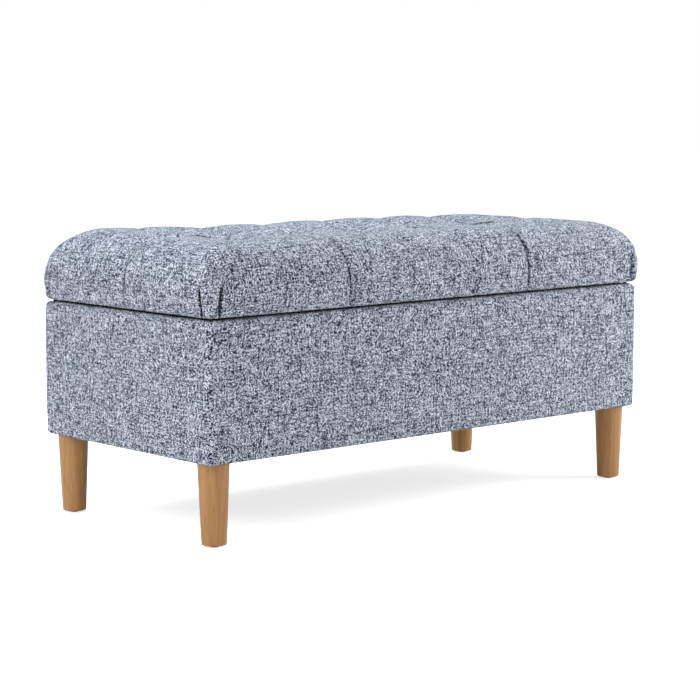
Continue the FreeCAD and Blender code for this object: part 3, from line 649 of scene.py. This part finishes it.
class Sheet:
    """The lid cover's grid: sheet coordinates, positions, and weave coordinates."""

    def __init__(self):
        self.profile = lid_profile()
        self.run = arc_lengths(self.profile)
        self.reach = self.run[-1]
        self.lower_edge = np.interp(-(LID_BOTTOM + EDGE_MARGIN), -self.profile[:-1, 1], self.run[:-1])
        self.flat_x = LID_HIGH.x - SHOULDER_RUN
        self.flat_y = LID_HIGH.y - SHOULDER_RUN
        half = TUFT_SPACING / 2
        xs = self.axis(self.flat_x, half / CELLS_PER_TUFT, [column * half for column in OUTER_COLUMNS])
        ys = self.axis(self.flat_y, TUFT_ROW_SPACING / CELLS_PER_TUFT, [0.0])
        self.x, self.y = np.meshgrid(xs, ys, indexing="ij")
        self.place()

    def axis(self, flat, step, pleats):
        """Grid lines: even steps over the flat, ring steps beyond it, and two close ones on each side
        of a pleat."""
        count = int(flat / step)
        inner = [i * step for i in range(-count, count + 1)]
        outer = [flat]
        zones = [0.0, 0.5 * self.lower_edge, self.lower_edge, self.reach]
        for start, end, size in zip(zones[:-1], zones[1:], (RING_STEP, FINE_STEP, RING_STEP)):
            rings = round((end - start) / size)
            outer += [flat + start + (end - start) * (i + 1) / rings for i in range(rings)]
        close = [p + side * CREASE_WIDTH for p in pleats for side in (-2, -1, 0, 1, 2)]
        lines = sorted(inner + outer + [-v for v in outer] + close)
        kept = [lines[0]]
        for value in lines[1:]:
            if value - kept[-1] > LEAST_STEP * CREASE_WIDTH:
                kept.append(value)
            elif any(abs(value - line) < TINY for line in close):
                kept[-1] = value
        return np.array(kept)

    def place(self):
        """Positions: rounded rectangular rings round the flat, each with its reach and height."""
        over_x = np.maximum(np.abs(self.x) - self.flat_x, 0.0)
        over_y = np.maximum(np.abs(self.y) - self.flat_y, 0.0)
        self.ring = np.maximum(over_x, over_y)
        reach = np.interp(self.ring, self.run, self.profile[:, 0])
        height = np.interp(self.ring, self.run, self.profile[:, 1])
        inner_share = share(1 - reach / SHOULDER_RUN)
        # Near the flat top the reach is smaller than the corner radius, which then gives way
        radius = np.minimum(CORNER_RADIUS + CORNER_GROWTH * inner_share, 0.98 * reach + 1e-6)
        leg = reach - radius
        self.half_path = leg + radius * math.pi / 4
        ratio = np.minimum(over_x, over_y) / np.maximum(self.ring, TINY)
        self.corner = (over_x > 0) & (over_y > 0)
        on_long = over_y >= over_x
        path = ratio * self.half_path
        turn = np.maximum(path - leg, 0.0) / radius
        along = np.minimum(path, leg) + radius * np.sin(turn)
        out = reach - radius * (1 - np.cos(turn))
        edge_x = np.where(over_x > 0, reach, 0.0)
        edge_y = np.where(over_y > 0, reach, 0.0)
        push_x = np.where(self.corner, np.where(on_long, along, out), edge_x)
        push_y = np.where(self.corner, np.where(on_long, out, along), edge_y)
        base_x = np.clip(np.abs(self.x), 0, self.flat_x)
        base_y = np.clip(np.abs(self.y), 0, self.flat_y)
        px = np.sign(self.x) * (base_x + push_x) + LID_SHIFT[0]
        py = np.sign(self.y) * (base_y + push_y) + LID_SHIFT[1]
        self.position = np.stack([px, py, height], axis=-1)
        self.path = np.where(self.corner, path, 0.0)

    def normals(self):
        along_x = np.gradient(self.position, axis=0)
        along_y = np.gradient(self.position, axis=1)
        normal = np.cross(along_x, along_y)
        return normal / np.maximum(np.linalg.norm(normal, axis=-1, keepdims=True), TINY)

    def quads(self):
        return grid_quads(*self.x.shape)

    def weave(self):
        """Weave coordinates of each quad's corners. Beyond the flat the weave follows the bend."""
        quads = self.quads()
        mid_x = np.abs(self.x[:-1, :-1] + self.x[1:, 1:]) / 2 - self.flat_x
        mid_y = np.abs(self.y[:-1, :-1] + self.y[1:, 1:]) / 2 - self.flat_y
        on_end = ((mid_x > mid_y) & (mid_x > 0))[..., None]
        path = self.path.ravel()
        x, y, ring = self.x.ravel(), self.y.ravel(), self.ring.ravel()
        along_x = np.sign(x) * (np.clip(np.abs(x), 0, self.flat_x) + path)
        along_y = np.sign(y) * (np.clip(np.abs(y), 0, self.flat_y) + path)
        down_x = np.sign(x) * (np.clip(np.abs(x), 0, self.flat_x) + ring)
        down_y = np.sign(y) * (np.clip(np.abs(y), 0, self.flat_y) + ring)
        on_top = ((mid_x <= 0) & (mid_y <= 0))[..., None]
        u = np.where(on_top, x[quads], np.where(on_end, down_x[quads], along_x[quads]))
        v = np.where(on_top, y[quads], np.where(on_end, along_y[quads], down_y[quads]))
        return np.stack([u, v], axis=-1)


def diagonal_pleats():
    """Start and end of each fold between one tuft and the next in the staggered row."""
    half, row = TUFT_SPACING / 2, TUFT_ROW_SPACING
    for sign in (-1, 1):
        for first in range(OUTER_COLUMNS[0], OUTER_COLUMNS[-1]):
            yield [(column * half, sign * row if column % 2 else 0.0) for column in (first, first + 1)]


def edge_pleats(sheet):
    """Start, end and strength of each fold from an outer tuft down to the lid's lower edge, and whether
    it is at an end of the lid."""
    half, row = TUFT_SPACING / 2, TUFT_ROW_SPACING
    edge_x, edge_y = sheet.flat_x + sheet.lower_edge, sheet.flat_y + sheet.lower_edge
    for sign, creases in ((-1, FRONT_CREASES), (1, BACK_CREASES)):
        for column, strength in zip(OUTER_COLUMNS, creases):
            x = column * half
            yield (x, sign * row), (x, sign * edge_y), strength, False
    for sign, strength in END_CREASES.items():
        yield (sign * END_COLUMN * half, 0.0), (sign * edge_x, 0.0), strength, True


def beside(sheet, start, end):
    """For every point of the sheet: its place along a fold, how far it is to the fold's side, and its
    distance from the fold. Last, the fold's length."""
    way = np.subtract(end, start)
    length = np.linalg.norm(way)
    way = way / length
    t = (sheet.x - start[0]) * way[0] + (sheet.y - start[1]) * way[1]
    side = (sheet.y - start[1]) * way[0] - (sheet.x - start[0]) * way[1]
    t_in = np.clip(t, 0, length)
    return t_in, side, np.hypot(t - t_in, side), length


class Relief:
    """What the tufts and folds do to the sheet: a broad pull inwards as a share of the pillows' height,
    a fine relief in metres, and how much painted shade each point gets in the creases, pits and
    gathers, from 0 to 1."""

    def __init__(self, sheet):
        self.sheet = sheet
        self.pull = np.zeros_like(sheet.x)
        self.fine = np.zeros_like(sheet.x)
        self.painted_crease_shade = np.zeros_like(sheet.x)
        self.rng = np.random.default_rng(7)

    def add_pull(self, depth, distance, width):
        self.pull += (depth * fade(distance, width)) ** PULL_POWER

    def add_crease(self, side, distance, width, depth, amount, lean):
        """A groove with the cloth a step higher on the side that lean gives, and painted shade along
        it.
        """
        line = amount * plateau(distance, width)
        step = lean * FOLD_STEP * amount * np.tanh(side / (FOLD_STEP_WIDTH * width))
        self.fine += depth * line + step * fade(distance, FOLD_STEP_REACH)
        self.painted_crease_shade = np.maximum(self.painted_crease_shade, line)

    def add_diagonal(self, start, end):
        t, side, distance, length = beside(self.sheet, start, end)
        way = math.pi * t / length
        slack = self.rng.uniform(*SLACK)
        self.add_pull(1 - slack * np.sin(way), distance, PILLOW_WIDTH)
        tightness = self.rng.uniform(*TIGHTNESS)
        amount = tightness * (MIDWAY_TIGHTNESS + (1 - MIDWAY_TIGHTNESS) * np.abs(np.cos(way)))
        lean = self.rng.choice((-1, 1))
        self.add_crease(side, distance, DIAGONAL_WIDTH, DIAGONAL_DEPTH, amount, lean)

    def add_edge_fold(self, start, end, strength, on_end):
        t, side, distance, length = beside(self.sheet, start, end)
        if on_end:
            fall = np.exp(-((t / END_FALL_LENGTH) ** END_FALL_POWER))
            mouth = plateau(t - MOUTH_AT, MOUTH_LENGTH)
            bow = BOW * np.sin(math.pi * share((t - BOW_FROM) / (length - BOW_FROM)))
            lean = 1
        else:
            fall = fade(t, FALL_LENGTH)
            mouth = 0.0
            bow = 0.0
            lean = self.rng.choice((-1, 1))
        everywhere, by_strength, by_fall = EDGE_PULL
        depth = (everywhere + by_strength * strength + by_fall * fall) * (1 - MOUTH_EASE * mouth)
        width = PILLOW_WIDTH * (NARROWEST + (1 - NARROWEST) * fade(t, NARROWING))
        self.add_pull(depth, distance, width)
        weakened = strength * (1 - WEAKENING * bell(t - WEAKEST_AT, WEAK_LENGTH))
        amount = share((length - t) / CREASE_FADE) * (FAINTEST + (1 - FAINTEST) * weakened)
        past_start = np.sqrt(np.maximum(distance**2 - side**2, 0.0))
        aside = side - bow
        self.add_crease(aside, np.hypot(past_start, aside), CREASE_WIDTH, CREASE_DEPTH, amount, lean)
        if on_end:
            step = MOUTH_STEP * mouth * np.tanh(-self.sheet.y / MOUTH_STEP_WIDTH)
            self.fine += step * fade(distance, MOUTH_STEP_REACH)
            self.fine += MOUTH_DIP * mouth * fade(distance, MOUTH_DIP_REACH)
            # Painted shade along the end fold's mouth
            self.painted_crease_shade = np.maximum(self.painted_crease_shade, mouth * plateau(distance, MOUTH_SHADE))

    def add_tuft(self, x, y):
        """Adds a tuft's gathers with painted shade in their hollows and painted shade in its pit, and
        gives the pit's depth at every point.
        """
        dx, dy = self.sheet.x - x, self.sheet.y - y
        distance = np.hypot(dx, dy)
        # Painted shade in the tuft's pit
        self.painted_crease_shade = np.maximum(self.painted_crease_shade, bell(distance, PIT_SHADE))
        angle = np.arctan2(dy, dx)
        first, second = (np.cos(n * angle + self.rng.uniform(0, 6)) for n in PUCKER_COUNTS)
        pucker = first + PUCKER_MIX * second
        around = fade(distance, PUCKER_REACH) * (1 - fade(distance, PUCKER_START))
        self.fine += PUCKER * pucker * around
        # Painted shade in the hollows of the gathers
        self.painted_crease_shade = np.maximum(self.painted_crease_shade, share(pucker / (1 + PUCKER_MIX)) ** 2 * around)
        return PIT_DEPTH * np.exp(-((distance / PIT_WIDTH) ** PIT_POWER))


def relief(sheet):
    """How far the tufts and folds pull each point in, the fine relief on that, and how much painted
    shade the point gets in the creases, pits and gathers."""
    marks = Relief(sheet)
    for start, end in diagonal_pleats():
        marks.add_diagonal(start, end)
    for fold in edge_pleats(sheet):
        marks.add_edge_fold(*fold)
    total = PILLOW_HEIGHT * marks.pull ** (1 / PULL_POWER)
    for place in tuft_points():
        total += marks.add_tuft(*place)
    return total, marks.fine, marks.painted_crease_shade


def smooth_noise(x, y, scale, seed):
    """Gentle unevenness: crossing waves with fixed random directions, mostly between -1 and 1."""
    rng = np.random.default_rng(seed)
    total = np.zeros_like(x)
    waves = 9
    gain = 1.6
    for _ in range(waves):
        angle, phase = rng.uniform(0, 2 * math.pi, 2)
        length = scale * rng.uniform(0.7, 1.6)
        total += np.sin((x * math.cos(angle) + y * math.sin(angle)) * 2 * math.pi / length + phase)
    return total / waves * gain


def corner_darts(sheet):
    """The two short folds beside each corner, which rise from the lower edge and lean together
    downwards: how far they pull the cloth in, and how much painted shade they get beside the groove."""
    over_edge = sheet.lower_edge - sheet.ring
    top_fade, edge_fade = DART_FADE
    present = share((DART_HEIGHT - over_edge) / top_fade) * share((over_edge + edge_fade) / edge_fade)
    gap = DART_GAP[0] + (DART_GAP[1] - DART_GAP[0]) * share(over_edge / DART_HEIGHT)
    corner_cut = (1 - math.pi / 4) * CORNER_RADIUS
    distance = sheet.path - (sheet.half_path + corner_cut - gap)
    lip_height, lip_at, lip_width = DART_LIP
    lip = lip_height * bell(distance - lip_at, lip_width)
    groove = DART_DEPTH * plateau(distance, DART_WIDTH) - lip
    shade_at, shade_width = DART_SHADE
    # Painted shade along the dart, centred a little away from the corner
    shade = plateau(distance + shade_at, shade_width)
    return np.where(sheet.corner, groove * present, 0.0), np.where(sheet.corner, shade * present, 0.0)


def stuffing(sheet):
    """How much fuller the cushion is than its section, at its ends above all, and on the left end
    towards the back only."""
    towards_end = share((np.abs(sheet.position[..., 0]) - END_PLUMP_FROM) / END_PLUMP_RUN)
    to_back = share((sheet.y - BACK_PLUMP_FROM) / BACK_PLUMP_RUN)
    by_end = np.where(sheet.x < 0, END_PLUMP[-1] * ease(to_back), END_PLUMP[1])
    return (TOP_PLUMP + by_end * ease(towards_end)) * share(1 - sheet.ring / PLUMP_REACH)


def shaped_sheet(inset=0.0):
    """The lid's surface, pulled down at its tufts and folds, moved inwards by inset."""
    sheet = Sheet()
    normal = sheet.normals()
    total, fine, painted_crease_shade = relief(sheet)
    over_bottom = sheet.position[..., 2] - LID_BOTTOM
    free = share((over_bottom - FREE_FROM) / FREE_RUN)
    dart, painted_dart_shade = corner_darts(sheet)
    total += fine + dart
    total -= stuffing(sheet)
    for height, length, seed in LUMPS:
        total -= height * smooth_noise(sheet.x, sheet.y, length, seed)
    sheet.position = sheet.position - normal * (total * free + inset)[..., None]
    height, length, seed = EDGE_WAVE
    near_bottom = share(1 - over_bottom / EDGE_WAVE_RISE) * share(over_bottom / EDGE_WAVE_START)
    sheet.position[..., 2] += height * smooth_noise(sheet.x, sheet.y, length, seed) * near_bottom
    # Painted shade in creases, pits, gathers and darts; the cloth is also held where it lies
    sheet.painted_crease_shade = np.maximum(painted_crease_shade * free, painted_dart_shade)
    valley = share(total / PILLOW_HEIGHT) ** VALLEY_POWER
    hem = share((sheet.ring - sheet.lower_edge + HEM) / HEM_RUN)
    sheet.held = share(np.maximum(np.maximum(valley, hem), sheet.painted_crease_shade))
    return sheet


def spread(full, few):
    """Weights that turn values on a few grid lines into values on all of them."""
    return np.array([np.interp(full, few, unit) for unit in np.eye(len(few))]).T


def stuffed(sheet):
    """How far the stuffing pushes each point of the cover, from a cloth simulation under pressure. The
    tufts, the folds and the lower edge are held."""
    rows, columns = (np.unique(np.r_[0:count:CLOTH_STRIDE, count - 1]) for count in sheet.x.shape)
    grid = np.ix_(rows, columns)
    start = sheet.position[grid]
    quads = grid_quads(len(rows), len(columns))
    work = new_object("cloth_work", start.reshape(-1, 3), quads.reshape(-1, 4))
    group = work.vertex_groups.new(name="held")
    for number, weight in enumerate(sheet.held[grid].ravel()):
        group.add([number], float(weight), "REPLACE")
    cloth = work.modifiers.new("stuffing", "CLOTH")
    cloth.settings.vertex_group_mass = "held"
    cloth.settings.use_pressure = True
    cloth.settings.uniform_pressure_force = CLOTH_PRESSURE
    cloth.settings.tension_stiffness = CLOTH_TENSION
    cloth.settings.compression_stiffness = CLOTH_COMPRESSION
    cloth.settings.bending_stiffness = CLOTH_BENDING
    cloth.settings.effector_weights.gravity = 0
    cloth.collision_settings.use_collision = False
    scene = bpy.context.scene
    for number in range(1, CLOTH_FRAMES + 1):
        scene.frame_set(number)
    evaluated = work.evaluated_get(bpy.context.evaluated_depsgraph_get()).data
    moved = np.empty(len(evaluated.vertices) * 3, np.float32)
    evaluated.vertices.foreach_get("co", moved)
    move = moved.reshape(start.shape) - start
    scene.frame_set(1)
    bpy.data.objects.remove(work)
    length = np.linalg.norm(move, axis=-1, keepdims=True)
    move *= np.minimum(1.0, CLOTH_CAP / np.maximum(length, TINY))
    rows_wide = spread(sheet.x[:, 0], sheet.x[rows, 0])
    columns_wide = spread(sheet.y[0], sheet.y[0, columns])
    return np.einsum("ri,ijk,cj->rck", rows_wide, move, columns_wide)


def make_lid_padding(material, push):
    """The wadding and foam under the cover, as one closed pad that stands on the board."""
    sheet = shaped_sheet(inset=PADDING_INSET)
    position = sheet.position + push
    over_board = position[..., 2] > BOARD_TOP
    position[..., 2] = np.maximum(position[..., 2], BOARD_TOP)
    quads = sheet.quads()
    keep = over_board.ravel()[quads].any(axis=-1)
    pad = new_object("lid_padding", position.reshape(-1, 3), quads[keep])
    remove_loose(pad)
    close_bottom(pad)
    pad.data.materials.append(material)
    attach(pad, "lid")
    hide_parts("lid_foam", "lid_wadding")


def add_thickness(obj):
    """Gives a sheet of fabric its thickness, inwards."""
    thick = obj.modifiers.new("fabric thickness", "SOLIDIFY")
    thick.thickness = FABRIC
    thick.offset = -1.0


def make_lid_cover(material, sheet, push):
    quads = sheet.quads().reshape(-1, 4)
    position = (sheet.position + push).reshape(-1, 3)
    cover = new_object("tufted_cover", position, quads, sheet.weave().reshape(-1, 2))
    # The painted shade goes to the material as a point attribute
    painted_crease_shade = cover.data.attributes.new("painted_fold_shade", "FLOAT", "POINT")
    painted_crease_shade.data.foreach_set("value", sheet.painted_crease_shade.astype(np.float32).ravel())
    add_thickness(cover)
    cover.data.materials.append(material)
    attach(cover, "lid")
    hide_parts("lid_cover")


# The base's cover: rings from inside the rim, over it, down the outside and in under the bottom


RIM_RADIUS = 8 * MM
RIM_INNER_RADIUS = 3 * MM
RIM_WIDTH = HALF_LENGTH - WALLS_HIGH.x
LOWER_EDGE_RADIUS = 4.8 * MM
BASE_CORNER_RADIUS = 6 * MM
LEAST_CORNER_RADIUS = 1.5 * MM  # of the rings that are inset
COVER_RETURN = 30 * MM
LINING_GAP = 1 * MM  # between the lining's top edge and the cover's turned-in edge
BASE_STEPS = (96, 46, 8)  # along the front, along an end and round a corner
OUTSIDE_INSET = 1 * MM  # a ring that is inset by less is part of the outside face
BASE_SWELL = 1.8 * MM  # how far the padding pushes the whole outside out
WALL_SWELL = 1.6 * MM  # how far it pushes the middle of each side out on top of that
SWELL_ROUNDNESS = 0.7  # 1 is a sine from the bottom to the rim, and less is flatter in the middle
SIDE_SQUARENESS, END_SQUARENESS = 6, 4  # how late the swell falls off towards the corners
BASE_LUMPS = (0.5 * MM, 150 * MM, 11)  # height, length and seed


def base_profile():
    """Inset from the outside face and height of the cover's section, from inside the well over the rim
    to its end under the bottom."""
    upper, lower, rounding = RIM_RADIUS, LOWER_EDGE_RADIUS, RIM_INNER_RADIUS
    low, high = BASE_LOW.z, BASE_HIGH.z
    inner = RIM_WIDTH + FABRIC
    inside = np.linspace(WALLS_HIGH.z + LINING_GAP, high - rounding, 6)
    wall = np.linspace(high - upper, low + lower, 34)[1:-1]
    under = np.linspace(lower, COVER_RETURN, 5)[1:]
    return np.vstack([
        np.column_stack([np.full(len(inside), inner), inside]),
        quarter((inner - rounding, high - rounding), (rounding, rounding), 0, 90, 6),
        quarter((upper, high - upper), (-upper, upper), 90, 0, 10),
        np.column_stack([np.zeros(len(wall)), wall]),
        quarter((lower, low + lower), (-lower, -lower), 0, 90, 8),
        np.column_stack([under, np.full(len(under), low)]),
    ])


def ring_outline(half_x, half_y, radius, steps_x, steps_y, steps_corner):
    """Points of a rounded rectangle from the left end of its front side round to the right, and the
    outward direction at each."""
    xs = np.linspace(-(half_x - radius), half_x - radius, steps_x + 1)[:-1]
    ys = np.linspace(-(half_y - radius), half_y - radius, steps_y + 1)[:-1]
    turn = np.linspace(0, math.pi / 2, steps_corner + 1)[:-1]
    points, outs = [], []
    sides = [
        ((0, -1), (1, 0), half_x, half_y, xs),
        ((1, 0), (0, 1), half_y, half_x, ys),
        ((0, 1), (-1, 0), half_x, half_y, xs),
        ((-1, 0), (0, -1), half_y, half_x, ys),
    ]
    for out, way, half_way, half_out, places in sides:
        out, way = np.array(out, float), np.array(way, float)
        for place in places:
            points.append(way * place + out * half_out)
            outs.append(out)
        centre = way * (half_way - radius) + out * (half_out - radius)
        for angle in turn:
            direction = out * math.cos(angle) + way * math.sin(angle)
            points.append(centre + direction * radius)
            outs.append(direction)
    return np.array(points), np.array(outs)


def base_bulge(points, outs, height):
    """How far the padding pushes each point of one ring of the outside out."""
    rise = share((height - BASE_LOW.z) / (BASE_HIGH.z - BASE_LOW.z))
    arch = math.sin(math.pi * rise)
    along_side = 1 - (np.abs(points[:, 0]) / HALF_LENGTH) ** SIDE_SQUARENESS
    along_end = 1 - (np.abs(points[:, 1]) / HALF_DEPTH) ** END_SQUARENESS
    swell = share(np.where(np.abs(outs[:, 1]) > 0.5, along_side, along_end))
    # Half at the bottom and at the rim, and full over most of the height
    bulge = BASE_SWELL * (0.5 + 0.5 * min(1.0, 6 * rise * (1 - rise)))
    bulge = bulge + WALL_SWELL * arch**SWELL_ROUNDNESS * swell
    lump_height, length, seed = BASE_LUMPS
    uneven = smooth_noise(points[:, 0] + points[:, 1], np.full(len(points), height), length, seed)
    return bulge + lump_height * uneven * arch


def make_base_cover(material):
    profile = base_profile()
    outline, _ = ring_outline(HALF_LENGTH, HALF_DEPTH, BASE_CORNER_RADIUS, *BASE_STEPS)
    around = arc_lengths(np.vstack([outline, outline[:1]]))
    rings, weave = [], []
    for (inset, height), distance in zip(profile, arc_lengths(profile)):
        radius = max(BASE_CORNER_RADIUS - inset, LEAST_CORNER_RADIUS)
        points, outs = ring_outline(HALF_LENGTH - inset, HALF_DEPTH - inset, radius, *BASE_STEPS)
        if inset < OUTSIDE_INSET:
            points = points + outs * base_bulge(points, outs, height)[:, None]
        rings.append(np.column_stack([points, np.full(len(points), height)]))
        weave.append(np.column_stack([around, np.full(len(around), -distance)]))
    count = len(rings[0])
    faces, uvs = [], []
    for level in range(len(rings) - 1):
        here, below = level * count, (level + 1) * count
        upper, lower = weave[level], weave[level + 1]
        for column in range(count):
            after = (column + 1) % count
            faces.append((here + column, below + column, below + after, here + after))
            uvs += [upper[column], lower[column], lower[column + 1], upper[column + 1]]
    cover = new_object("box_cover", np.vstack(rings), faces, uvs)
    add_thickness(cover)
    cover.data.materials.append(material)
    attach(cover, "base")
    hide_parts("base_cover")


def finish_cad_nodes(materials):
    slots = {part["node"]: part["material_slot"] for part in frame["record"]["subparts"]}
    for name, node in frame["nodes"].items():
        node.data.materials.clear()
        node.data.materials.append(materials[slots[name]])


add_camera()
materials = make_materials()
add_studio()
finish_cad_nodes(materials)
lid_sheet = shaped_sheet()
lid_push = stuffed(lid_sheet)
make_lid_padding(materials["wadding"], lid_push)
make_lid_cover(materials["upholstery_fabric"], lid_sheet, lid_push)
make_base_cover(materials["upholstery_fabric"])
